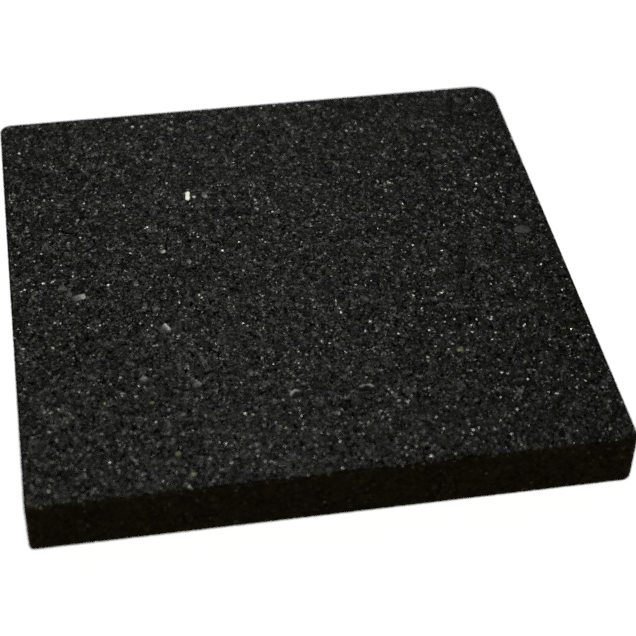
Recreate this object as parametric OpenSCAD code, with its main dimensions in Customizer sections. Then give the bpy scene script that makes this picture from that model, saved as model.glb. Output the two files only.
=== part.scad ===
// Balance pad: a flat rectangular slab of bonded black rubber granulate, cut
// from a moulded block, so that the larger granules of other colours lie cut
// flush in its faces. Each granule sits in a pocket of its own shape.
// Millimetres. Origin at the centre of the underside, +Z up, front edge
// towards -Y. The slab has no cover, core or moving piece.

/* [Slab] */
// Width of the slab, left to right
pad_width = 300; // [290:1:500]
// Depth of the slab, front to back
pad_depth = 305; // [300:1:500]
// Thickness of the slab
pad_thickness = 30; // [15:1:60]

/* [Corners and edges] */
// Plan radius of the front left corner
r_front_left = 2.5; // [2.3:0.1:20]
// Plan radius of the front right corner
r_front_right = 5.5; // [2.3:0.1:20]
// Plan radius of the back right corner
r_back_right = 13.5; // [2.3:0.1:20]
// Plan radius of the back left corner
r_back_left = 6.5; // [2.3:0.1:20]
// Rounding of the edge round the top face
edge_top = 1.5; // [0.5:0.1:2]
// Rounding of the edge round the underside
edge_bottom = 2; // [0.5:0.1:2]

/* [Granules] */
// Depth of the pockets that hold the large grey flakes
flake_depth = 3; // [1.5:0.1:5]
// Large grey flakes in the underside
flakes_under = 9; // [1:1:14]
// Small pale grey granules in the top face
pale_top = 30; // [1:1:45]
// Small pale grey granules in the underside
pale_under = 16; // [1:1:30]
// Olive granules in the underside
olive_under = 5; // [1:1:12]
// Short fibre strands in the underside
fibre_under = 3; // [1:1:8]
// Seed of the scatter
scatter_seed = 41; // [1:1:400]

/* [Hidden] */
$fn = 96;

half_width = pad_width / 2;
half_depth = pad_depth / 2;
// Corners anticlockwise from the front left: [x sign, y sign, plan radius]
corners = [
    [-1, -1, r_front_left],
    [1, -1, r_front_right],
    [1, 1, r_back_right],
    [-1, 1, r_back_left]
];
// How far the edge cutters reach beyond the slab
overcut = 1;

// Pocket depths of the small granules
pale_depth = 1.8;
olive_depth = 2;
fibre_depth = 1;
// No scattered granule centre comes nearer to the rim than this
rim = 9;
// A scattered granule centre keeps this distance from those placed before it
gap = 13;
// First seed of the scatter, and the step from one scattered group to the next
first_seed = scatter_seed * 1000;
seed_step = 700;

// ---- Granules placed by hand in the top face ----
// Each granule is [x, y, length, width, angle, sides, depth]
LENGTH = 2;
WIDTH = 3;
ANGLE = 4;
SIDES = 5;
DEPTH = 6;

// Large grey flakes
flakes = [
    [-114.4, -7.4, 13.6, 7, 15, 4, flake_depth],
    [-71.9, -37.9, 11.4, 8.6, 28, 3, flake_depth],
    [133.4, 13.3, 10.8, 6.8, -8, 8, flake_depth],
    [23.8, -96.7, 8.4, 6.4, -6, 9, flake_depth],
    [-12.3, -95.8, 8, 7, 20, 9, flake_depth],
    [-60.3, -82.1, 6.6, 4.8, 35, 5, flake_depth],
    [-86.2, -73.8, 5.6, 4.6, 20, 5, flake_depth],
    [-38, 69.3, 7.4, 4, 105, 6, flake_depth],
    [-66.6, 23.7, 4.8, 4, 15, 5, flake_depth],
    [-53.4, 13.4, 5, 3.8, 95, 5, flake_depth],
    [-122.4, 1.4, 8.6, 8.2, 20, 3, flake_depth]
];
// The white chip and the dot beside it
chips = [
    [-47.5, 70.2, 11.8, 3.3, 84, 4, 2.4],
    [-44, 68.6, 2.4, 2.2, 0, 6, 1.5]
];
// Olive granules
olives = [
    [-69, -142, 4.2, 3, 25, 7, olive_depth],
    [-75, -127, 3.6, 2.8, 80, 7, olive_depth],
    [-84, -91, 3.4, 2.6, 10, 6, olive_depth],
    [77, -76, 5.2, 3.4, 35, 8, olive_depth],
    [16, -141, 3.6, 2.6, 150, 7, olive_depth]
];
// Fibre strands
fibres = [
    [-135, -74, 8, 0.9, 28, 4, fibre_depth],
    [-42, 25, 5, 0.8, 75, 4, fibre_depth],
    [48, 11, 5.5, 0.9, -70, 4, fibre_depth]
];
top_placed = concat(flakes, chips, olives, fibres);

// ---- Scattered granules ----
// Whether a granule keeps its distance from every granule in the list
function is_clear(granule, others) =
    len([
        for (other = others)
            if (norm([granule.x - other.x, granule.y - other.y]) < gap) 1
    ]) == 0;

// Spreads count granules over a face, clear of those in keep and of each other.
// slim is width over length; placed gathers the result, one try per seed.
function scatter(count, seed, keep, shortest, longest, slim, sides, depth, placed = []) =
    len(placed) >= count ? placed :
    let (
        draw = rands(0, 1, 4, seed),
        length = shortest + (longest - shortest) * draw[2],
        granule = [
            (draw[0] - 0.5) * (pad_width - 2 * rim),
            (draw[1] - 0.5) * (pad_depth - 2 * rim),
            length, length * slim, 360 * draw[3], sides, depth
        ]
    )
    scatter(count, seed + 1, keep, shortest, longest, slim, sides, depth,
            is_clear(granule, concat(keep, placed)) ? concat(placed, [granule]) : placed);

// Small pale granules, alike in both faces
function scatter_pales(count, seed, keep) =
    scatter(count, seed, keep, shortest = 1.4, longest = 2.8,
            slim = 0.75, sides = 6, depth = pale_depth);

pales = scatter_pales(pale_top, first_seed, top_placed);
flakes_low = scatter(flakes_under, first_seed + seed_step, [],
    shortest = 5, longest = 9.5, slim = 0.66, sides = 8, depth = flake_depth);
olives_low = scatter(olive_under, first_seed + 2 * seed_step, flakes_low,
    shortest = 3, longest = 5, slim = 0.7, sides = 7, depth = olive_depth);
fibres_low = scatter(fibre_under, first_seed + 3 * seed_step, concat(flakes_low, olives_low),
    shortest = 4.5, longest = 8, slim = 0.14, sides = 4, depth = fibre_depth);
low_placed = concat(flakes_low, olives_low, fibres_low);
pales_low = scatter_pales(pale_under, first_seed + 4 * seed_step, low_placed);

// ---- Granule shapes ----
// Irregular outline in the granule's own frame, seeded by its position
function outline(granule) =
    let (seed = round(37 * abs(granule.x) + 91 * abs(granule.y)))
    [
        for (i = [0 : granule[SIDES] - 1])
            let (
                angle = 360 * (i + 0.5) / granule[SIDES],
                stretch = rands(0.76, 1.12, 1, seed + i)[0]
            )
            [
                0.5 * granule[LENGTH] * stretch * cos(angle),
                0.5 * granule[WIDTH] * stretch * sin(angle)
            ]
    ];

// One granule about the Z axis, standing on z = 0
module granule_body(granule) {
    rotate([0, 0, granule[ANGLE]])
        linear_extrude(height = granule[DEPTH]) polygon(outline(granule));
}

// Granules whose cut faces are flush with the top
module all_top(granules) {
    for (granule = granules)
        translate([granule.x, granule.y, pad_thickness - granule[DEPTH]])
            granule_body(granule);
}

// Granules whose cut faces are flush with the underside
module all_under(granules) {
    for (granule = granules)
        translate([granule.x, granule.y, 0]) granule_body(granule);
}

// ---- Slab shapes ----
// Centre of the plan arc of one corner
function arc_centre(corner) = [
    corner[0] * (half_width - corner[2]),
    corner[1] * (half_depth - corner[2])
];

// Plan of the slab: straight edges meeting in four unequal round corners
module plan() {
    polygon([
        [-half_width, -half_depth + r_front_left], [-half_width + r_front_left, -half_depth],
        [half_width - r_front_right, -half_depth], [half_width, -half_depth + r_front_right],
        [half_width, half_depth - r_back_right], [half_width - r_back_right, half_depth],
        [-half_width + r_back_left, half_depth], [-half_width, half_depth - r_back_left]
    ]);
    for (corner = corners)
        translate(arc_centre(corner)) circle(r = corner[2]);
}

// Section of the material taken off an edge rounded to edge_radius
module edge_section(edge_radius) {
    difference() {
        square([edge_radius + overcut, edge_radius + overcut]);
        circle(r = edge_radius);
    }
}

// What comes off one straight edge along +X, outer side towards -Y
module straight_cut(length, edge_radius) {
    translate([0, edge_radius, -edge_radius]) rotate([90, 0, 90]) mirror([1, 0, 0])
        linear_extrude(height = length) edge_section(edge_radius);
}

// What comes off one corner, in the +X +Y quarter about its arc centre
module corner_cut(plan_radius, edge_radius) {
    translate([0, 0, -edge_radius])
        rotate_extrude(angle = 90)
            translate([plan_radius - edge_radius, 0]) edge_section(edge_radius);
}

// Everything that comes off round one face, with the face at z = 0, solid below:
// each corner, and the straight edge that runs anticlockwise from it
module rim_cut(edge_radius) {
    for (i = [0 : 3]) {
        plan_radius = corners[i][2];
        next_radius = corners[(i + 1) % 4][2];
        side = i % 2 == 0 ? pad_width : pad_depth;
        translate(arc_centre(corners[i])) rotate([0, 0, 90 * i]) {
            translate([0, -plan_radius, 0])
                straight_cut(side - plan_radius - next_radius, edge_radius);
            rotate([0, 0, 180]) corner_cut(plan_radius, edge_radius);
        }
    }
}

// ---- Nodes ----
// Black rubber granules pressed and bonded into one slab, with the pockets
module granulate_slab() {
    color([0.07, 0.07, 0.066]) difference() {
        linear_extrude(height = pad_thickness) plan();
        translate([0, 0, pad_thickness]) rim_cut(edge_top);
        mirror([0, 0, 1]) rim_cut(edge_bottom);
        all_top(concat(top_placed, pales));
        all_under(concat(low_placed, pales_low));
    }
}

// Large grey rubber flakes
module grey_flakes() {
    color([0.34, 0.35, 0.35]) {
        all_top(flakes);
        all_under(flakes_low);
    }
}

// White plastic chip and dot
module white_chips() {
    color([0.92, 0.93, 0.9]) all_top(chips);
}

// Small pale grey granules
module pale_granules() {
    color([0.5, 0.5, 0.5]) {
        all_top(pales);
        all_under(pales_low);
    }
}

// Olive green granules
module olive_granules() {
    color([0.3, 0.31, 0.16]) {
        all_top(olives);
        all_under(olives_low);
    }
}

// Short pale textile strands
module fibre_strands() {
    color([0.55, 0.55, 0.52]) {
        all_top(fibres);
        all_under(fibres_low);
    }
}

granulate_slab();
grey_flakes();
white_chips();
pale_granules();
olive_granules();
fibre_strands();
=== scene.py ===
# Balance pad: one slab of bonded rubber granulate, its surface modelled granule by granule, with
# larger flakes, chips, granules and strands cut flush in its faces. It lies flat on z = 0, centred
# on the origin; front is -y and right is +x. Meshes are worked out in mm, the scene is in metres.
import math
from itertools import product

import bpy
import numpy as np
from mathutils import Matrix, Vector


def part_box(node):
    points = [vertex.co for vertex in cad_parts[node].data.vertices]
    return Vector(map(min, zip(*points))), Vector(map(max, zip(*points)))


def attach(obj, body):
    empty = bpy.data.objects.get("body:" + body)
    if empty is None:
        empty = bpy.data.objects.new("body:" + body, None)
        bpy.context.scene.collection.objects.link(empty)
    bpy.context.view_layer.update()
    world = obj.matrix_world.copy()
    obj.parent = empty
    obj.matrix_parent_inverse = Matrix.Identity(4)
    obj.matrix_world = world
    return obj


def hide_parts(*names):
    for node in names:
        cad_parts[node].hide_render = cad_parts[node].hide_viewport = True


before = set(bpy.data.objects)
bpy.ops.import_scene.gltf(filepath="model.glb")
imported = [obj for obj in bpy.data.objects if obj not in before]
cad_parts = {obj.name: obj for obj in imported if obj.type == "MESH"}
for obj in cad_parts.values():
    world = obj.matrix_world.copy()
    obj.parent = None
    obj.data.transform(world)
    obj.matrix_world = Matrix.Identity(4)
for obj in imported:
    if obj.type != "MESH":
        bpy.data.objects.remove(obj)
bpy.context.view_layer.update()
MM = 0.001

# ---------------------------------------------------------------- slab, in mm
slab_lo, slab_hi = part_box("granulate_slab")
HALF_X = (slab_hi.x - slab_lo.x) / 2 / MM
HALF_Y = (slab_hi.y - slab_lo.y) / 2 / MM
THICK = (slab_hi.z - slab_lo.z) / MM
# plan radii of the front left, front right, back right and back left corners
CORNER_FL, CORNER_FR, CORNER_BR, CORNER_BL = 2.5, 5.5, 13.5, 6.5
RIM_TOP, RIM_BOTTOM = 1.5, 2.0
WEAR, WEAR_SPREAD, WEAR_CELL = 1.1, 1.8, 11.0  # extra radius of the front top rim, unevenness
STEP = 0.42
JITTER = 0.32  # shift of the grid points, in steps
TOP, BOTTOM, SIDE = 0, 1, 2  # kinds of surface point

# UV layout: the top in a square, the underside squeezed above it, the four sides in strips beside it
UV_TOP, UV_TOP_SIZE = 0.005, 0.695
UV_BOTTOM, UV_BOTTOM_SIZE = (0.01, 0.72), (0.98, 0.27)
UV_STRIP, UV_STRIP_PITCH, UV_STRIP_WIDTH = 0.715, 0.071, 0.065

# ---------------------------------------------------------------- granules, in mm
COARSE_CELL, FINE_CELL = 2.4, 1.35
FINE_DROP = 0.16  # how much deeper the fine granules lie
HALF_MIN, HALF_MAX = 0.32, 0.64  # half width of a granule, as a share of its size
SIZE_SPREAD, SKEW = 0.2, 0.16
TILT, DROP = 0.3, 0.2  # slope and depth of the cut across a granule, standard deviations
MISS = 9.0  # depth given where a ray meets no granule
CHUNK = 60000  # points worked on at once
DEEPEST = 1.1
RIM_DEPTH, RIM_REACH = 0.2, 4.0  # share of the depth left at a rim, and how far in that fades
SINK_START, SINK_END = 0.15, 0.85  # depths at which a crevice begins and is full
CREVICE_SHADE = 0.8  # painted shade in a full crevice
FACET = 0.8  # how strongly the facets turn the shading normal
PROUD = 0.15  # how far the flanks stand out, so that the worn outline keeps the cut size
BASE_TONE, TONE_SPREAD = 0.0100, 1.0
TINT = (1.0, 1.005, 0.94)
SIDE_EVEN = 0.5  # how far the tones of the sides are drawn to their median
PALE_ABOVE, PALE_TONE, PALE_SPREAD = 0.965, 1.8, 2.5
WARM_BELOW, WARM_TINT = 0.04, (1.12, 1.15, 0.75)
COOL_ABOVE, COOL_TINT = 0.9, (0.92, 0.97, 1.12)
# room left round a larger piece: search distance, margin, softness, depth limit, share, painted shade
# in the gap
ROOM_SEARCH, ROOM_MARGIN, ROOM_SOFT = 8, 0.1, 0.25
ROOM_DEPTH, ROOM_SHARE, ROOM_SHADE = 1.1, 0.8, 0.6


class Granules:
    """Angular granules, one per cell of a jittered lattice.

    Each has three skew pairs of faces and a fourth pair that bevels them.
    """

    def __init__(self, cell, seed, pad=4.0):
        rng = np.random.default_rng(seed)
        self.cell = cell
        self.origin = np.array([-HALF_X - pad, -HALF_Y - pad, -pad], np.float32)
        extent = np.array([2 * HALF_X, 2 * HALF_Y, THICK]) + 2 * pad
        self.count = np.ceil(extent / cell).astype(int) + 1
        total = int(np.prod(self.count))
        index = np.stack(np.unravel_index(np.arange(total), self.count), -1)
        shift = rng.uniform(-0.5, 0.5, (total, 3))
        self.centre = (self.origin + (index + 0.5 + shift) * cell).astype(np.float32)
        # a random rotation, from a unit quaternion
        quat = rng.normal(size=(total, 4))
        quat /= np.linalg.norm(quat, axis=1, keepdims=True)
        w, x, y, z = quat.T
        axes = np.stack([
            np.stack([1 - 2 * (y * y + z * z), 2 * (x * y - z * w), 2 * (x * z + y * w)], -1),
            np.stack([2 * (x * y + z * w), 1 - 2 * (x * x + z * z), 2 * (y * z - x * w)], -1),
            np.stack([2 * (x * z - y * w), 2 * (y * z + x * w), 1 - 2 * (x * x + y * y)], -1),
        ], 1)
        axes = axes + rng.normal(scale=SKEW, size=axes.shape)
        sign = rng.choice([-1.0, 1.0], (total, 3))
        bevel = (axes * sign[..., None]).sum(1, keepdims=True)
        axes = np.concatenate([axes, bevel], 1)
        axes /= np.linalg.norm(axes, axis=2, keepdims=True)
        self.axes = axes.astype(np.float32)
        size = cell * np.exp(rng.normal(0, SIZE_SPREAD, total))
        half = size[:, None] * rng.uniform(HALF_MIN, HALF_MAX, (total, 4))
        half[:, 3] = size * rng.uniform(0.5 * (HALF_MIN + HALF_MAX), HALF_MAX, total)
        self.half = half.astype(np.float32)
        self.tilt = rng.normal(scale=TILT, size=(total, 3)).astype(np.float32)
        self.drop = np.abs(rng.normal(0, DROP, total)).astype(np.float32)
        self.chance = rng.uniform(0, 1, (total, 4)).astype(np.float32)

    def crossings(self, points, normals, which):
        """Where inward rays meet the near and far faces and the cut; and the rays' slopes."""
        offset = points - self.centre[which]
        axes = self.axes[which]
        along = np.einsum("ijk,ik->ij", axes, offset)
        slope = np.einsum("ijk,ik->ij", axes, normals)
        slope = np.where(np.abs(slope) < 1e-4, 1e-4, slope)
        half = self.half[which]
        first, second = (along - half) / slope, (along + half) / slope
        cut = self.drop[which] + np.einsum("ij,ij->i", self.tilt[which], offset)
        return np.minimum(first, second), np.maximum(first, second), cut, slope

    def depth(self, points, normals):
        """Depth below each surface point of the first granule met, and which one it is."""
        cells = np.floor((points - self.origin) / self.cell).astype(np.int64)
        best = np.full(len(points), MISS, np.float32)
        who = np.zeros(len(points), np.int64)
        for shift in product((-1, 0, 1), repeat=3):
            near_cell = np.clip(cells + shift, 0, self.count - 1)
            which = np.ravel_multi_index(tuple(near_cell.T), tuple(self.count))
            near, far, cut, _ = self.crossings(points, normals, which)
            enter, leave = near.max(1), far.min(1)
            met = np.maximum(enter, np.maximum(cut, 0))
            met = np.where((enter <= leave) & (leave >= met), met, MISS)
            better = met < best
            best = np.where(better, met, best)
            who = np.where(better, which, who)
        return best, who

    def facet(self, points, normals, who):
        """Outward normal of the facet of granule who that each ray meets, or of its cut."""
        near, _, cut, slope = self.crossings(points, normals, who)
        rows, face = np.arange(len(points)), near.argmax(1)
        side = self.axes[who][rows, face] * np.sign(slope[rows, face])[:, None]
        tilt = self.tilt[who]
        lean = normals + tilt - normals * np.einsum("ij,ij->i", tilt, normals)[:, None]
        lean /= np.linalg.norm(lean, axis=1, keepdims=True)
        return np.where((cut > near[rows, face])[:, None], lean, side)


def value_noise(points, cell, seed):
    """Smooth noise from 0 to 1 at points, made from a lattice of random numbers."""
    values = np.random.default_rng(seed).uniform(0, 1, 1 << 16).astype(np.float32)
    scaled = points / cell
    low = np.floor(scaled).astype(np.int64)
    blend = (scaled - low).astype(np.float32)
    blend = blend * blend * (3 - 2 * blend)
    total = 0
    for corner in product((0, 1), repeat=3):
        x, y, z = (low + corner).T
        key = (x * 73856093) ^ (y * 19349663) ^ (z * 83492791)
        weight = np.where(corner, blend, 1 - blend)
        total = total + values[key & 0xFFFF] * (weight[:, 0] * weight[:, 1] * weight[:, 2])
    return total


# ---------------------------------------------------------------- the slab's closed surface
def grid_quads(ids):
    return np.stack([ids[:-1, :-1], ids[1:, :-1], ids[1:, 1:], ids[:-1, 1:]], -1).reshape(-1, 4)


def corner_uvs(*corners):
    """UVs of many quads, from the (u, v) arrays of each of their four corners."""
    return np.stack([np.stack(uv, -1) for uv in corners], -2).reshape(-1, 4, 2)


def box_uvs(nx, ny, nz):
    """UVs in the order of the faces of box_grid."""
    i, j = (g.ravel().astype(float) for g in np.meshgrid(np.arange(nx), np.arange(ny), indexing="ij"))
    cell = corner_uvs((i, j), (i + 1, j), (i + 1, j + 1), (i, j + 1)) / (nx, ny)
    around = np.arange(2 * (nx + ny))
    ends = np.cumsum([0, nx, ny, nx, ny])
    side = np.searchsorted(ends, around, side="right") - 1
    length = ends[side + 1] - ends[side]
    start, end = ((k - ends[side]) / length for k in (around, around + 1))
    level = np.arange(nz)[:, None] / nz
    low, high = (UV_STRIP + UV_STRIP_PITCH * side + UV_STRIP_WIDTH * v for v in (level, level + 1 / nz))
    start, end = (np.broadcast_to(UV_TOP + UV_TOP_SIZE * v, low.shape) for v in (start, end))
    return np.concatenate([
        UV_TOP + UV_TOP_SIZE * cell,
        (cell * UV_BOTTOM_SIZE + UV_BOTTOM)[:, ::-1],
        corner_uvs((low, start), (low, end), (high, end), (high, start)),
    ])


def box_grid(step):
    """A closed box of jittered grids: points, kind of each point, quads and their UVs."""
    rng = np.random.default_rng(5)
    nx, ny, nz = (max(4, int(round(v / step))) for v in (2 * HALF_X, 2 * HALF_Y, THICK))
    i, j = np.meshgrid(np.arange(nx + 1), np.arange(ny + 1), indexing="ij")
    flat = np.stack([i, j], -1).reshape(-1, 2).astype(float)
    inner = ((flat > 0) & (flat < (nx, ny))).all(1)[:, None]
    top, bottom = (
        flat + np.where(inner, rng.uniform(-JITTER, JITTER, flat.shape), 0) for _ in range(2))
    # grid places round the edge, from the front left corner along the front
    ring = np.concatenate([
        np.stack([np.arange(nx), np.zeros(nx)], -1),
        np.stack([np.full(ny, nx), np.arange(ny)], -1),
        np.stack([np.arange(nx, 0, -1), np.full(nx, ny)], -1),
        np.stack([np.zeros(ny), np.arange(ny, 0, -1)], -1),
    ]).astype(int)
    round_count = len(ring)
    along_x = (ring[:, 1] == 0) | (ring[:, 1] == ny)
    corner = ((ring[:, 0] == 0) | (ring[:, 0] == nx)) & along_x
    sides = []
    for level in range(1, nz):
        row = ring.astype(float)
        shift = rng.uniform(-JITTER, JITTER, round_count)
        row[:, 0] += np.where(along_x & ~corner, shift, 0)
        row[:, 1] += np.where(~along_x & ~corner, shift, 0)
        sides.append(np.column_stack([row, level + rng.uniform(-JITTER, JITTER, round_count)]))
    sides = np.concatenate(sides)
    flat_count = len(flat)
    points = np.concatenate([
        np.column_stack([top, np.full(flat_count, nz)]),
        np.column_stack([bottom, np.zeros(flat_count)]),
        sides,
    ])
    points = points / (nx, ny, nz) * (2 * HALF_X, 2 * HALF_Y, THICK) - (HALF_X, HALF_Y, 0)
    kind = np.repeat([TOP, BOTTOM, SIDE], [flat_count, flat_count, len(sides)])
    top_ids = np.arange(flat_count).reshape(nx + 1, ny + 1)
    edge = top_ids[ring[:, 0], ring[:, 1]]
    side_ids = 2 * flat_count + np.arange((nz - 1) * round_count).reshape(nz - 1, round_count)
    levels = np.concatenate([(edge + flat_count)[None], side_ids, edge[None]])
    after = np.roll(levels, -1, axis=1)
    faces = np.concatenate([
        grid_quads(top_ids),
        grid_quads(top_ids + flat_count)[:, ::-1],
        np.stack([levels[:-1], after[:-1], after[1:], levels[1:]], -1).reshape(-1, 4),
    ])
    return points, kind, faces, box_uvs(nx, ny, nz)


def round_slab(points, kind):
    """Wraps the box onto the slab's round corners and rims. Gives points and normals."""
    x, y, z = points.T
    sx, sy = np.where(x > 0, 1.0, -1.0), np.where(y > 0, 1.0, -1.0)
    radius = np.where(
        sy < 0, np.where(sx < 0, CORNER_FL, CORNER_FR), np.where(sx > 0, CORNER_BR, CORNER_BL))
    # place in the corner square, mapped onto the quarter disc
    vx = (x * sx - (HALF_X - radius)) / radius
    vy = (y * sy - (HALF_Y - radius)) / radius
    corner = (vx > 0) & (vy > 0)
    length = np.maximum(np.hypot(vx, vy), 1e-9)
    longest = np.maximum(vx, vy)
    px = np.where(corner, sx * (HALF_X - radius + radius * vx * longest / length), x)
    py = np.where(corner, sy * (HALF_Y - radius + radius * vy * longest / length), y)
    # distance in from the outline, and the outward direction in plan
    in_x, in_y = HALF_X - np.abs(x), HALF_Y - np.abs(y)
    inset = np.where(corner, radius * (1 - longest), np.minimum(in_x, in_y))
    out_x = np.where(corner, sx * vx / length, np.where(in_x <= in_y, sx, 0))
    out_y = np.where(corner, sy * vy / length, np.where(in_x <= in_y, 0, sy))
    inset = np.where(kind == SIDE, 0, inset)
    # the front rim of the top face is rubbed rounder than the others, and unevenly
    uneven = value_noise(np.stack([x, 0 * x, 0 * x], -1), WEAR_CELL, 31)
    worn = WEAR + WEAR_SPREAD * (uneven - 0.5)
    rim_top = np.minimum(RIM_TOP + worn * np.clip(-out_y, 0, 1), radius - 0.1)
    upper = (kind == TOP) | ((kind == SIDE) & (z > THICK / 2))
    rim = np.where(upper, rim_top, RIM_BOTTOM)
    down = np.where(kind == SIDE, np.minimum(THICK - z, z), 0)
    across = np.clip((rim - inset) / rim, 0, 1)
    along = np.clip((rim - down) / rim, 0, 1)
    in_rim = (across > 0) & (along > 0)
    length = np.where(in_rim, np.hypot(across, along), 1)
    across, along = across / length, along / length
    new_inset = np.where(in_rim, rim * (1 - across), inset)
    new_down = np.where(in_rim, rim * (1 - along), down)
    px = px + out_x * (inset - new_inset)
    py = py + out_y * (inset - new_inset)
    pz = np.where(upper, THICK - new_down, new_down)
    level = np.where(in_rim, across, np.where(kind == SIDE, 1.0, 0.0))
    upright = np.where(in_rim, along, np.where(kind == SIDE, 0.0, 1.0))
    normals = np.stack([out_x * level, out_y * level, np.where(upper, 1.0, -1.0) * upright], -1)
    normals /= np.linalg.norm(normals, axis=1, keepdims=True)
    return np.stack([px, py, pz], -1), normals


# ---------------------------------------------------------------- outlines of the larger pieces
def islands(name):
    """Each separate solid of a CAD node: middle and outline of its cut face, its side, its depth."""
    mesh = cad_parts[name].data
    count = len(mesh.vertices)
    co = np.empty(count * 3, np.float32)
    mesh.vertices.foreach_get("co", co)
    co = co.reshape(-1, 3) / MM
    _, merged = np.unique(np.round(co, 3), axis=0, return_inverse=True)
    merged = merged.reshape(-1)
    parent = np.arange(merged.max() + 1)

    def root(a):
        while parent[a] != a:
            parent[a] = parent[parent[a]]
            a = parent[a]
        return a

    for edge in mesh.edges:
        a, b = (root(merged[v]) for v in edge.vertices)
        if a != b:
            parent[a] = b
    groups = {}
    for v in range(count):
        groups.setdefault(root(merged[v]), []).append(v)
    found = []
    for members in groups.values():
        corners = np.unique(np.round(co[members], 3), axis=0)
        lo, hi = corners[:, 2].min(), corners[:, 2].max()
        top = hi > THICK / 2
        rim = corners[np.abs(corners[:, 2] - (hi if top else lo)) < 0.01][:, :2]
        middle = rim.mean(0)
        order = np.argsort(np.arctan2(*(rim - middle).T[::-1]))
        found.append({"middle": middle, "outline": rim[order], "top": top, "depth": float(hi - lo)})
    found.sort(key=lambda d: (d["top"], *(round(float(v), 2) for v in d["middle"])))
    return found


def outline_distance(outline, middle, rays):
    """Distance from the middle to a closed outline along each ray."""
    starts, ends = outline - middle, np.roll(outline, -1, axis=0) - middle
    nearest = np.full(len(rays), 9e9)
    for start, end in zip(starts, ends):
        edge = end - start
        cross = rays[:, 0] * edge[1] - rays[:, 1] * edge[0]
        cross = np.where(np.abs(cross) < 1e-9, 1e-9, cross)
        ray_at = (start[0] * edge[1] - start[1] * edge[0]) / cross
        edge_at = (start[0] * rays[:, 1] - start[1] * rays[:, 0]) / cross
        hit = (ray_at > 0) & (edge_at >= -1e-6) & (edge_at <= 1 + 1e-6)
        nearest = np.where(hit, np.minimum(nearest, ray_at), nearest)
    return nearest


def outside(outline, points):
    """How far each point lies outside an outline, measured from the outline's middle."""
    middle = outline.mean(0)
    offset = points - middle
    length = np.maximum(np.hypot(offset[:, 0], offset[:, 1]), 1e-6)
    return length - outline_distance(outline, middle, offset / length[:, None])


# ---------------------------------------------------------------- objects and attributes
def add_object(name, data):
    ob = bpy.data.objects.new(name, data)
    bpy.context.scene.collection.objects.link(ob)
    return ob


def new_mesh(name, points, faces):
    mesh = bpy.data.meshes.new(name)
    mesh.vertices.add(len(points))
    mesh.vertices.foreach_set("co", np.ascontiguousarray(points * MM, np.float32).ravel())
    corners = faces.shape[1]
    mesh.loops.add(faces.size)
    mesh.loops.foreach_set("vertex_index", np.ascontiguousarray(faces, np.int32).ravel())
    mesh.polygons.add(len(faces))
    mesh.polygons.foreach_set("loop_start", np.arange(0, faces.size, corners, dtype=np.int32))
    mesh.polygons.foreach_set("loop_total", np.full(len(faces), corners, np.int32))
    mesh.update(calc_edges=True)
    mesh.polygons.foreach_set("use_smooth", np.full(len(faces), True))
    mesh.validate(clean_customdata=False)
    return add_object(name, mesh)


def add_attribute(mesh, name, kind, field, values):
    attribute = mesh.attributes.new(name, kind, "POINT")
    attribute.data.foreach_set(field, np.ascontiguousarray(values, np.float32).ravel())


def point_colour(mesh, name, rgb, alpha=1.0):
    full = np.ones((len(mesh.vertices), 4), np.float32)
    full[:, :3] = rgb
    full[:, 3] = alpha
    add_attribute(mesh, name, "FLOAT_COLOR", "color", full)


# ---------------------------------------------------------------- slab mesh
def granule_tone(chance):
    """Relative colour of granules: a few are far paler, some are warmer or cooler."""
    tone = np.exp((chance[:, 0] - 0.5) * TONE_SPREAD)
    tone = np.where(chance[:, 1] > PALE_ABOVE, PALE_TONE + PALE_SPREAD * chance[:, 2], tone)
    tint = np.ones((len(chance), 3), np.float32)
    tint = np.where((chance[:, 3] < WARM_BELOW)[:, None], WARM_TINT, tint)
    tint = np.where((chance[:, 3] > COOL_ABOVE)[:, None], COOL_TINT, tint)
    return tone[:, None] * tint


def grain_of(points, normals):
    """Depth, relative colour and facet normal of the granulate at surface points."""
    coarse, fine = Granules(COARSE_CELL, 11), Granules(FINE_CELL, 12)
    depth = np.empty(len(points), np.float32)
    tone = np.empty((len(points), 3), np.float32)
    facet = np.empty((len(points), 3), np.float32)
    for start in range(0, len(points), CHUNK):
        part = slice(start, start + CHUNK)
        p, n = points[part], normals[part]
        coarse_depth, coarse_who = coarse.depth(p, n)
        fine_depth, fine_who = fine.depth(p, n)
        fine_depth = fine_depth + FINE_DROP
        depth[part] = np.minimum(coarse_depth, fine_depth)
        first = (coarse_depth <= fine_depth)[:, None]
        tone[part] = granule_tone(np.where(first, coarse.chance[coarse_who], fine.chance[fine_who]))
        facet[part] = np.where(first, coarse.facet(p, n, coarse_who), fine.facet(p, n, fine_who))
    return depth, tone, facet


def rim_calm(raw, kind):
    """Share of the granule depth kept at each point: the cut rims are cleaner than the faces."""
    in_x, in_y = HALF_X - np.abs(raw[:, 0]), HALF_Y - np.abs(raw[:, 1])
    in_z = np.minimum(raw[:, 2], THICK - raw[:, 2])
    side = kind == SIDE
    rim = np.clip(np.where(side, in_z, np.minimum(in_x, in_y)) / RIM_REACH, 0, 1)
    upright = np.where(side, np.maximum(in_x, in_y) / RIM_REACH, 1.0)
    rim = np.minimum(rim, np.clip(upright, 0, 1))
    return RIM_DEPTH + (1 - RIM_DEPTH) * rim * rim * (3 - 2 * rim)


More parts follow.
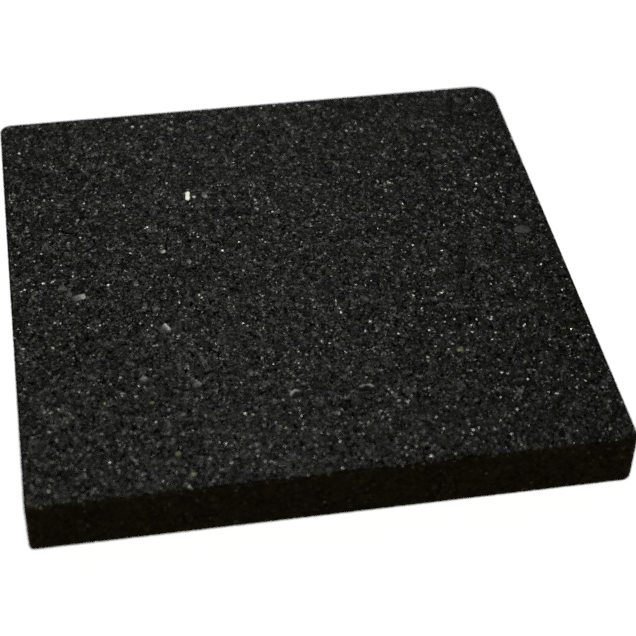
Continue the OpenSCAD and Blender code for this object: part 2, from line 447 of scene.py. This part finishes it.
def leave_room(points, kind, depth, rgb):
    """Sinks the surface, in place, where the larger pieces lie, and darkens it there with painted
    shade.
    """
    for piece in (p for group in INCLUSIONS.values() for p in group):
        offset = np.abs(points[:, :2] - piece["middle"])
        near = np.nonzero(
            (kind == (TOP if piece["top"] else BOTTOM)) & (offset < ROOM_SEARCH).all(1))[0]
        beyond = outside(piece["outline"], points[near, :2])
        weight = np.clip((ROOM_MARGIN - beyond) / ROOM_SOFT, 0, 1)
        hole = min(ROOM_DEPTH, piece["depth"] * ROOM_SHARE)
        depth[near] = np.maximum(depth[near], weight * hole)
        # painted shade under and round each larger piece
        rgb[near] *= (1 - ROOM_SHADE * weight)[:, None]


def build_slab():
    raw, kind, faces, uvs = box_grid(STEP)
    points, normals = round_slab(raw, kind)
    depth, rgb, facet = grain_of(points.astype(np.float32), normals.astype(np.float32))
    rgb = rgb * np.float32(BASE_TONE) * np.array(TINT, np.float32)
    depth = np.minimum(depth, DEEPEST)
    depth *= rim_calm(raw, kind)
    # painted shade: the colour is darkened in the crevices between the granules
    sunk = np.clip((depth - SINK_START) / (SINK_END - SINK_START), 0, 1)
    rgb *= (1 - CREVICE_SHADE * sunk)[:, None]
    side = kind == SIDE
    evened = SIDE_EVEN * np.median(rgb[side], 0) + (1 - SIDE_EVEN) * rgb
    rgb = np.where(side[:, None], evened, rgb)
    facet = normals + FACET * (facet - normals * sunk[:, None])
    facet /= np.linalg.norm(facet, axis=1, keepdims=True)
    leave_room(points, kind, depth, rgb)
    points = points + normals * (PROUD * (1 - np.abs(normals[:, 2])) - depth)[:, None]
    ob = new_mesh("granulate_slab_surface", points, faces)
    uv_map = ob.data.uv_layers.new(name="OFBake")
    uv_map.data.foreach_set("uv", uvs.astype(np.float32).ravel())
    # this colour holds the granules' own tones and the painted shade of crevices and gaps
    point_colour(ob.data, "grain_and_shade", rgb, 1 - sunk)
    add_attribute(ob.data, "flank", "FLOAT", "value", side)
    add_attribute(ob.data, "lie", "FLOAT_VECTOR", "vector", facet)
    return ob


# ---------------------------------------------------------------- larger pieces
# Top-face pieces with a tone of their own: x, y, tone, the side that is lighter in degrees,
# how much lighter, and how far the light part is drawn into an arch along that side
OWN_TONES = [
    (-47.5, 70.2, 1.1, 90, 0.0, 0), (-44, 68.6, 0.65, 0, 0.0, 0), (-114.4, -7.4, 1.1, 10, 0.8, 0),
    (-71.9, -37.9, 1.2, 35, 0.6, 0.6), (-86.2, -73.8, 0.85, 70, 0.5, 0),
    (-60.3, -82.1, 0.5, 60, 0.6, 0), (-12.3, -95.8, 0.85, 115, 0.2, 1),
    (23.8, -96.7, 0.72, 80, 0.1, 1), (133.4, 13.3, 0.36, 0, 0.0, 0),
    (-53.4, 13.4, 0.75, -20, 0.7, 0), (-122.4, 1.4, 0.5, 0, 0.0, 0),
    (-38, 69.3, 0.85, -60, 0.5, 0), (-66.6, 23.7, 1.7, -20, 0.8, 0),
]
OWN_TONE_REACH = 1.7  # how near a piece's middle must be to its entry, in mm


def blur_round(values, share):
    """Mixes each value of a closed ring with this share of each neighbour."""
    middle = 1 - 2 * share
    return share * np.roll(values, 1) + middle * values + share * np.roll(values, -1)


def lump_mesh(piece, segments, rings, rng):
    """One worn lump: domed cut face, round rim and closed body. Points, triangles, mean radius."""
    middle = piece["middle"]
    angle = np.linspace(0, 2 * math.pi, segments, endpoint=False)
    rays = np.stack([np.cos(angle), np.sin(angle)], -1)
    radius = blur_round(outline_distance(piece["outline"], middle, rays), 0.25)
    size = radius.mean()
    radius *= 1 + 0.05 * rng.normal(size=segments)
    radius = blur_round(radius, 0.2)
    tilt = rng.normal(scale=0.02, size=2)
    rim = min(0.35, 0.3 * size)
    low = min(1.6, piece["depth"] * 0.85)
    # share of the radius and depth of each ring: cut face, rim, body
    profile = [(f * (1 - rim / size), 0.0) for f in np.linspace(0, 1, rings + 1)[1:]]
    for turn in (0.35, 0.7, 1.0):
        sine, cosine = math.sin(turn * math.pi / 2), math.cos(turn * math.pi / 2)
        profile.append((1 - rim / size + rim / size * sine, rim * (1 - cosine)))
    profile += [(0.97, 0.5 * (rim + low)), (0.8, low)]
    rows = [[*middle, 0.04]]
    for share, depth in profile:
        ring = rays * (radius * share)[:, None]
        bump = 0.05 * rng.uniform(size=segments) + 0.1 * share * share
        ring_depth = 0.05 + depth + bump + ring @ tilt
        rows.append(np.column_stack([middle + ring, np.maximum(0.0, ring_depth)]))
    rows.append([*middle, low + 0.1])
    points = np.vstack(rows)
    points[:, 2] = THICK - points[:, 2] if piece["top"] else points[:, 2]
    ids = 1 + np.arange(len(profile) * segments).reshape(-1, segments)
    after = np.roll(ids, -1, axis=1)
    quads = np.stack([ids[:-1], ids[1:], after[1:], after[:-1]], -1).reshape(-1, 4)
    faces = np.concatenate([
        quads[:, [0, 1, 2]],
        quads[:, [0, 2, 3]],
        np.stack([np.zeros(segments, int), ids[0], after[0]], -1),
        np.stack([np.full(segments, len(points) - 1), after[-1], ids[-1]], -1),
    ])
    return points, faces if piece["top"] else faces[:, ::-1], size


def lump_tone(piece, points, size, mottle, seed, rng):
    """Tone at each point of a lump, often fading towards one side."""
    middle = piece["middle"]
    tone, way, fade, arch = rng.uniform(0.5, 1.2), rng.uniform(0, 360), rng.uniform(0.1, 0.6), 0.0
    for x, y, *own in OWN_TONES if piece["top"] else []:
        if math.hypot(middle[0] - x, middle[1] - y) < OWN_TONE_REACH:
            tone, way, fade, arch = own
    toward = np.array([math.cos(math.radians(way)), math.sin(math.radians(way))])
    offset = (points[:, :2] - middle) / size
    out, lit = np.hypot(offset[:, 0], offset[:, 1]), offset @ toward
    tones = tone * np.clip(np.exp(1.3 * fade * lit), 0.15, 2.4)
    bow = 0.08 + 1.7 * np.clip((lit + 0.1) / 0.5, 0, 1) * np.clip((out - 0.35) / 0.35, 0, 1)
    tones *= 1 - arch + arch * bow
    tones *= 1 - mottle + 2 * mottle * value_noise(points, 1.0, seed)
    return tones


def build_inclusions(name, segments, rings, mottle, seed):
    """Every solid of a group as one mesh of worn lumps."""
    rng = np.random.default_rng(seed)
    points, faces, tones, base = [], [], [], 0
    for piece in INCLUSIONS[name]:
        lump, triangles, size = lump_mesh(piece, segments, rings, rng)
        tones.append(lump_tone(piece, lump, size, mottle, seed, rng))
        points.append(lump)
        faces.append(triangles + base)
        base += len(lump)
    ob = new_mesh(name + "_cut", np.concatenate(points), np.concatenate(faces))
    point_colour(ob.data, "tone", np.concatenate(tones)[:, None])
    return ob


# ---------------------------------------------------------------- shader helpers
class Nodes:
    """Short calls that add nodes to one shader tree. A value may be a number or a socket."""

    def __init__(self, tree):
        self.tree = tree

    def feed(self, socket, value):
        if isinstance(value, bpy.types.NodeSocket):
            self.tree.links.new(value, socket)
        else:
            socket.default_value = value

    def fill(self, made, *values):
        for socket, value in zip(made.inputs, values):
            self.feed(socket, value)
        return made.outputs[0]

    def add(self, kind, **values):
        made = self.tree.nodes.new("ShaderNode" + kind)
        for key, value in values.items():
            if key in made.inputs.keys():
                self.feed(made.inputs[key], value)
            else:
                setattr(made, key, value)
        return made

    def math(self, operation, *values):
        return self.fill(self.add("Math", operation=operation), *values)

    def vector(self, operation, *values):
        return self.fill(self.add("VectorMath", operation=operation), *values)

    def scale(self, vector, factor):
        made = self.add("VectorMath", operation="SCALE", Scale=factor)
        return self.fill(made, vector)

    def centred(self, colour, factor):
        return self.scale(self.vector("SUBTRACT", colour, (0.5, 0.5, 0.5)), factor)

    def multiply(self, colour, other):
        made = self.add("Mix", data_type="RGBA", blend_type="MULTIPLY", Factor=1.0)
        self.feed(made.inputs[6], colour)
        self.feed(made.inputs[7], other)
        return made.outputs[2]

    def map_range(self, value, to_min, to_max, from_min=0.0, from_max=1.0):
        limits = {"From Min": from_min, "From Max": from_max, "To Min": to_min, "To Max": to_max}
        return self.add("MapRange", Value=value, **limits).outputs[0]

    def ramp(self, value, *stops):
        """A two-stop colour ramp; each stop is a position and a colour."""
        made = self.add("ValToRGB", Fac=value)
        for element, (position, colour) in zip(made.color_ramp.elements, stops):
            element.position = position
            element.color = (*colour, 1)
        return made.outputs["Color"]


def new_material(name):
    material = bpy.data.materials.new(name)
    material.use_nodes = True
    nodes = Nodes(material.node_tree)
    nodes.tree.nodes.clear()
    output = nodes.add("OutputMaterial")
    bsdf = nodes.add("BsdfPrincipled")
    nodes.feed(output.inputs[0], bsdf.outputs[0])
    return material, nodes, bsdf, output


def linear(*srgb):
    """Linear colour from sRGB values of 0 to 255."""
    return tuple(
        c / 255 / 12.92 if c / 255 <= 0.04045 else ((c / 255 + 0.055) / 1.055) ** 2.4 for c in srgb)


# ---------------------------------------------------------------- granulate material
BIG_CRUMB, SMALL_CRUMB = 0.0019, 0.0010  # metres
CRUMB_WARP, CRUMB_SMOOTH = 1.2, 0.25
CRUMB_TONE, CRUMB_GAIN = 0.4, 1.0
SPECK_GLINT_GAIN, SPECK_GLINT_POWER, SPECK_GLINT_MAX = 62.0, 60.0, 120.0  # the few far lighter crumbs, partly pale crumbs and partly painted glints
SPECK_GLINT_TINT = (0.97, 0.98, 1.06)
CLUSTER = 0.6  # how unevenly the lighter crumbs and painted glints are spread
BATCH_SWING = 1.05  # full swing of tone over a few centimetres
FLANK_EVEN, FLANK_TONE = 0.85, 0.83  # how even the flanks are, and their tone
CRUMB_LEAN = 0.18
MESH_NORMAL = 0.0  # share of the mesh normal against the facet normal
WET_ROUGH, DRY_ROUGH = 0.2, 0.45
SHINE, SHINE_POWER = 0.035, 1.5


def crumbs(nodes, coords, size):
    """Irregular cells of about size metres: their colour."""
    warp = nodes.add("TexNoise", Scale=0.9 / size, Detail=2.0, Vector=coords)
    offset = nodes.centred(warp.outputs["Color"], size * CRUMB_WARP)
    cells = nodes.add("TexVoronoi", feature="SMOOTH_F1", Scale=1 / size, Randomness=1.0,
                      Smoothness=CRUMB_SMOOTH, Vector=nodes.vector("ADD", coords, offset))
    return cells.outputs["Color"]


def crumb_tone(nodes, channel):
    spread = nodes.math("MULTIPLY", nodes.math("POWER", channel, 2.0), CRUMB_GAIN)
    return nodes.math("ADD", CRUMB_TONE, spread)


def grain_material():
    material, nodes, bsdf, _ = new_material("bonded_granulate")
    times = lambda a, b: nodes.math("MULTIPLY", a, b)
    coords = nodes.add("TexCoord").outputs["Object"]
    # this colour holds the granules' own tones and the painted shade of crevices and gaps
    grain_and_shade = nodes.add("Attribute", attribute_name="grain_and_shade")
    big, small = (crumbs(nodes, coords, size) for size in (BIG_CRUMB, SMALL_CRUMB))
    big_parts, small_parts = (nodes.add("SeparateColor", Color=c).outputs for c in (big, small))
    # each crumb has its own tone, and a few are far lighter than the rest: partly pale crumbs, partly
    # painted glints
    big_tone, small_tone = (crumb_tone(nodes, parts[0]) for parts in (big_parts, small_parts))
    flock = nodes.add("TexNoise", Scale=190.0, Detail=2.0, Roughness=0.5, Vector=coords)
    thick = nodes.map_range(flock.outputs["Fac"], 1.0 - CLUSTER, 1.0 + CLUSTER, 0.38, 0.62)
    speck_glint = times(times(nodes.math("POWER", small_parts[0], SPECK_GLINT_POWER), SPECK_GLINT_GAIN), thick)
    # batches differ a little in tone over a few centimetres; the cut flanks are more even
    wide = nodes.add("TexNoise", Scale=60.0, Detail=3.0, Roughness=0.6, Vector=coords)
    batch = nodes.math("ADD", 1.0 - BATCH_SWING / 2, times(wide.outputs["Fac"], BATCH_SWING))
    flank = nodes.add("Attribute", attribute_name="flank")
    even = times(flank.outputs["Fac"], FLANK_EVEN)
    keep = nodes.math("SUBTRACT", 1.0, even)
    crumbly = times(times(big_tone, small_tone), keep)
    low = times(nodes.math("ADD", crumbly, times(even, FLANK_TONE)), batch)
    high = times(times(times(big_tone, speck_glint), keep), batch)
    high = nodes.math("MINIMUM", high, SPECK_GLINT_MAX)
    # the hue drifts between warm and cool
    apart = nodes.vector("ADD", coords, (3.1, 1.7, 0.4))
    hue = nodes.add("TexNoise", Scale=110.0, Detail=2.0, Roughness=0.5, Vector=apart)
    drift = nodes.ramp(hue.outputs["Fac"], (0.35, (1.12, 1.08, 0.72)), (0.65, (0.93, 0.97, 1.16)))
    dark = nodes.scale(drift, low)
    light = nodes.scale(SPECK_GLINT_TINT, high)
    colour = nodes.multiply(grain_and_shade.outputs["Color"], nodes.vector("ADD", dark, light))
    nodes.feed(bsdf.inputs["Base Color"], colour)
    # binder wets some crumbs more than others
    nodes.feed(bsdf.inputs["Roughness"], nodes.map_range(big_parts[1], WET_ROUGH, DRY_ROUGH))
    # each crumb's face leans its own way off the lie of the slab's face
    geometry = nodes.add("NewGeometry")
    lie = nodes.add("Attribute", attribute_name="lie")
    lean = nodes.vector("ADD", *[nodes.centred(c, CRUMB_LEAN) for c in (big, small)])
    own = nodes.vector(
        "ADD",
        nodes.scale(geometry.outputs["Normal"], MESH_NORMAL),
        nodes.scale(lie.outputs["Vector"], 1 - MESH_NORMAL))
    nodes.feed(bsdf.inputs["Normal"], nodes.vector("NORMALIZE", nodes.vector("ADD", own, lean)))
    # the crevices shine less
    shine = times(nodes.math("POWER", grain_and_shade.outputs["Alpha"], SHINE_POWER), SHINE)
    nodes.feed(bsdf.inputs["Specular IOR Level"], shine)
    return material


# ---------------------------------------------------------------- material of the larger pieces
LUMP_ROUGH_SWING, LUMP_SHINE = 0.12, 0.06


def lump_material(name, colour, rough, vary):
    material, nodes, bsdf, _ = new_material(name)
    coords = nodes.add("TexCoord").outputs["Object"]
    cloud = nodes.add("TexNoise", Scale=900.0, Detail=4.0, Roughness=0.6, Vector=coords)
    cloud = cloud.outputs["Fac"]
    mottled = nodes.ramp(
        cloud,
        (0.3, [c * (1 - vary) for c in colour]),
        (0.72, [min(1, c * (1 + vary)) for c in colour]))
    tone = nodes.add("Attribute", attribute_name="tone")
    nodes.feed(bsdf.inputs["Base Color"], nodes.multiply(mottled, tone.outputs["Color"]))
    roughness = nodes.map_range(cloud, rough - LUMP_ROUGH_SWING, rough + LUMP_ROUGH_SWING)
    nodes.feed(bsdf.inputs["Roughness"], roughness)
    pits = nodes.add("TexNoise", Scale=2200.0, Detail=3.0, Vector=coords)
    bump = nodes.add("Bump", Strength=0.35, Distance=0.0002, Height=pits.outputs["Fac"])
    nodes.feed(bsdf.inputs["Normal"], bump.outputs[0])
    shine = nodes.math("MULTIPLY", tone.outputs["Fac"], LUMP_SHINE)
    nodes.feed(bsdf.inputs["Specular IOR Level"], shine)
    return material


# ---------------------------------------------------------------- pieces
# node: sRGB colour, roughness, colour variation, mottle of the tone, segments, rings, slot
LUMPS = {
    "grey_flakes": ((93, 94, 94), 0.42, 0.5, 0.5, 40, 6, "grey_rubber"),
    "white_chips": ((228, 231, 225), 0.3, 0.15, 0.12, 32, 5, "white_chip"),
    "pale_granules": ((112, 112, 110), 0.45, 0.5, 0.5, 20, 3, "pale_rubber"),
    "olive_granules": ((99, 102, 79), 0.55, 0.5, 0.5, 24, 4, "olive_rubber"),
    "fibre_strands": ((100, 100, 96), 0.7, 0.5, 0.5, 32, 3, "textile_strand"),
}
INCLUSIONS = {name: islands(name) for name in LUMPS}


def place_piece(ob, material, name):
    ob.data.materials.append(material)
    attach(ob, "root")
    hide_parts(name)


place_piece(build_slab(), grain_material(), "granulate_slab")
for seed, (name, row) in enumerate(LUMPS.items(), start=40):
    srgb, rough, vary, mottle, segments, rings, slot = row
    lumps = build_inclusions(name, segments, rings, mottle, seed)
    finish = lump_material(name + "_finish", linear(*srgb), rough, vary)
    place_piece(lumps, finish, name)

# ---------------------------------------------------------------- floor and world
FLOOR_OWN, FLOOR_GLOW = 0.93, 1.06  # share of glow in the seen floor, and its strength
FLOOR_BOUNCE = (0.235, 0.172, 0.1)  # light the floor gives to the pad
WORLD_LIGHT = 0.04


def floor_material():
    """Glowing white to the camera, a dim warm light to everything else."""
    material, nodes, bsdf, output = new_material("pale_floor")
    bsdf.inputs["Base Color"].default_value = (0.86, 0.86, 0.86, 1)
    bsdf.inputs["Roughness"].default_value = 0.9
    bsdf.inputs["Specular IOR Level"].default_value = 0.1
    bounce = nodes.add("Emission", Color=(*FLOOR_BOUNCE, 1), Strength=1.0)
    path = nodes.add("LightPath")
    by_ray = nodes.add("MixShader")
    glow = nodes.add("Emission", Color=(1, 1, 1, 1), Strength=FLOOR_GLOW)
    seen = nodes.fill(nodes.add("MixShader"), FLOOR_OWN, bsdf.outputs[0], glow.outputs[0])
    nodes.fill(by_ray, path.outputs["Is Camera Ray"], bounce.outputs[0], seen)
    nodes.feed(output.inputs[0], by_ray.outputs[0])
    return material


bpy.ops.mesh.primitive_plane_add(size=12, location=(0, 0, 0))
floor = bpy.context.object
floor.name = "floor"
floor.data.materials.append(floor_material())

scene = bpy.context.scene
world = bpy.data.worlds.new("studio")
scene.world = world
world.use_nodes = True
background = world.node_tree.nodes["Background"]
background.inputs[0].default_value = (1, 1, 1, 1)
nodes = Nodes(world.node_tree)
camera_ray = nodes.add("LightPath").outputs["Is Camera Ray"]
nodes.feed(background.inputs[1], nodes.map_range(camera_ray, WORLD_LIGHT, FLOOR_GLOW))

# ---------------------------------------------------------------- lights, all aimed at the origin
# name, place and size in metres, power in watts, colour, seen in reflections
LIGHTS = [
    ("key", (0.1, 1.35, 1.78), (0.5, 0.5), 39.3, (0.97, 1.0, 0.965), True),
    ("top", (-1.6, 1.4, 1.6), (0.5, 0.5), 4, (1, 1, 1), True),
    ("fill", (-0.4, -1.5, 0.95), (1.4, 0.8), 14.0, (1.0, 0.75, 0.42), True),
    ("right", (1.5, 0.2, 0.25), (0.8, 0.5), 8, (1.0, 0.9, 0.75), False),
    ("left", (-1.5, 0.2, 0.25), (0.8, 0.5), 8, (1.0, 0.9, 0.75), False),
]
for name, place, size, power, colour, glossy in LIGHTS:
    light = bpy.data.lights.new(name, "AREA")
    light.shape = "RECTANGLE"
    light.size, light.size_y = size
    light.energy = power
    light.color = colour
    lamp = add_object(name, light)
    lamp.location = place
    lamp.rotation_mode = "QUATERNION"
    lamp.rotation_quaternion = (-Vector(place)).to_track_quat("-Z", "Y")
    lamp.visible_glossy = glossy

# ---------------------------------------------------------------- camera and render
AZIMUTH, ELEVATION, ROLL = (math.radians(a) for a in (-10.7932, 42.5704, 1.5192))
DISTANCE, SHIFT_RIGHT, SHIFT_UP = 0.956037, 0.015918, -0.005331  # metres
SENSOR, LENS = 36, 97.7192474  # mm

back = Vector((
    math.sin(AZIMUTH) * math.cos(ELEVATION),
    -math.cos(AZIMUTH) * math.cos(ELEVATION),
    math.sin(ELEVATION)))
level = Vector((math.cos(AZIMUTH), math.sin(AZIMUTH), 0))
upright = back.cross(level)
right = level * math.cos(ROLL) + upright * math.sin(ROLL)
up = -level * math.sin(ROLL) + upright * math.cos(ROLL)
lens = bpy.data.cameras.new("camera")
lens.sensor_width = SENSOR
lens.lens = LENS
lens.clip_start, lens.clip_end = 0.01, 50
camera = add_object("camera", lens)
pose = Matrix((right, up, back)).transposed().to_4x4()
pose.translation = back * DISTANCE + right * SHIFT_RIGHT + up * SHIFT_UP
camera.matrix_world = pose
scene.camera = camera
focus = add_object("focus", None)
focus.location = (0, 0, THICK * MM)
lens.dof.use_dof = True
lens.dof.focus_object = focus
lens.dof.aperture_fstop = 8.5
scene.view_settings.view_transform = "Standard"
scene.cycles.use_denoising = False
scene.cycles.filter_width = 1.7
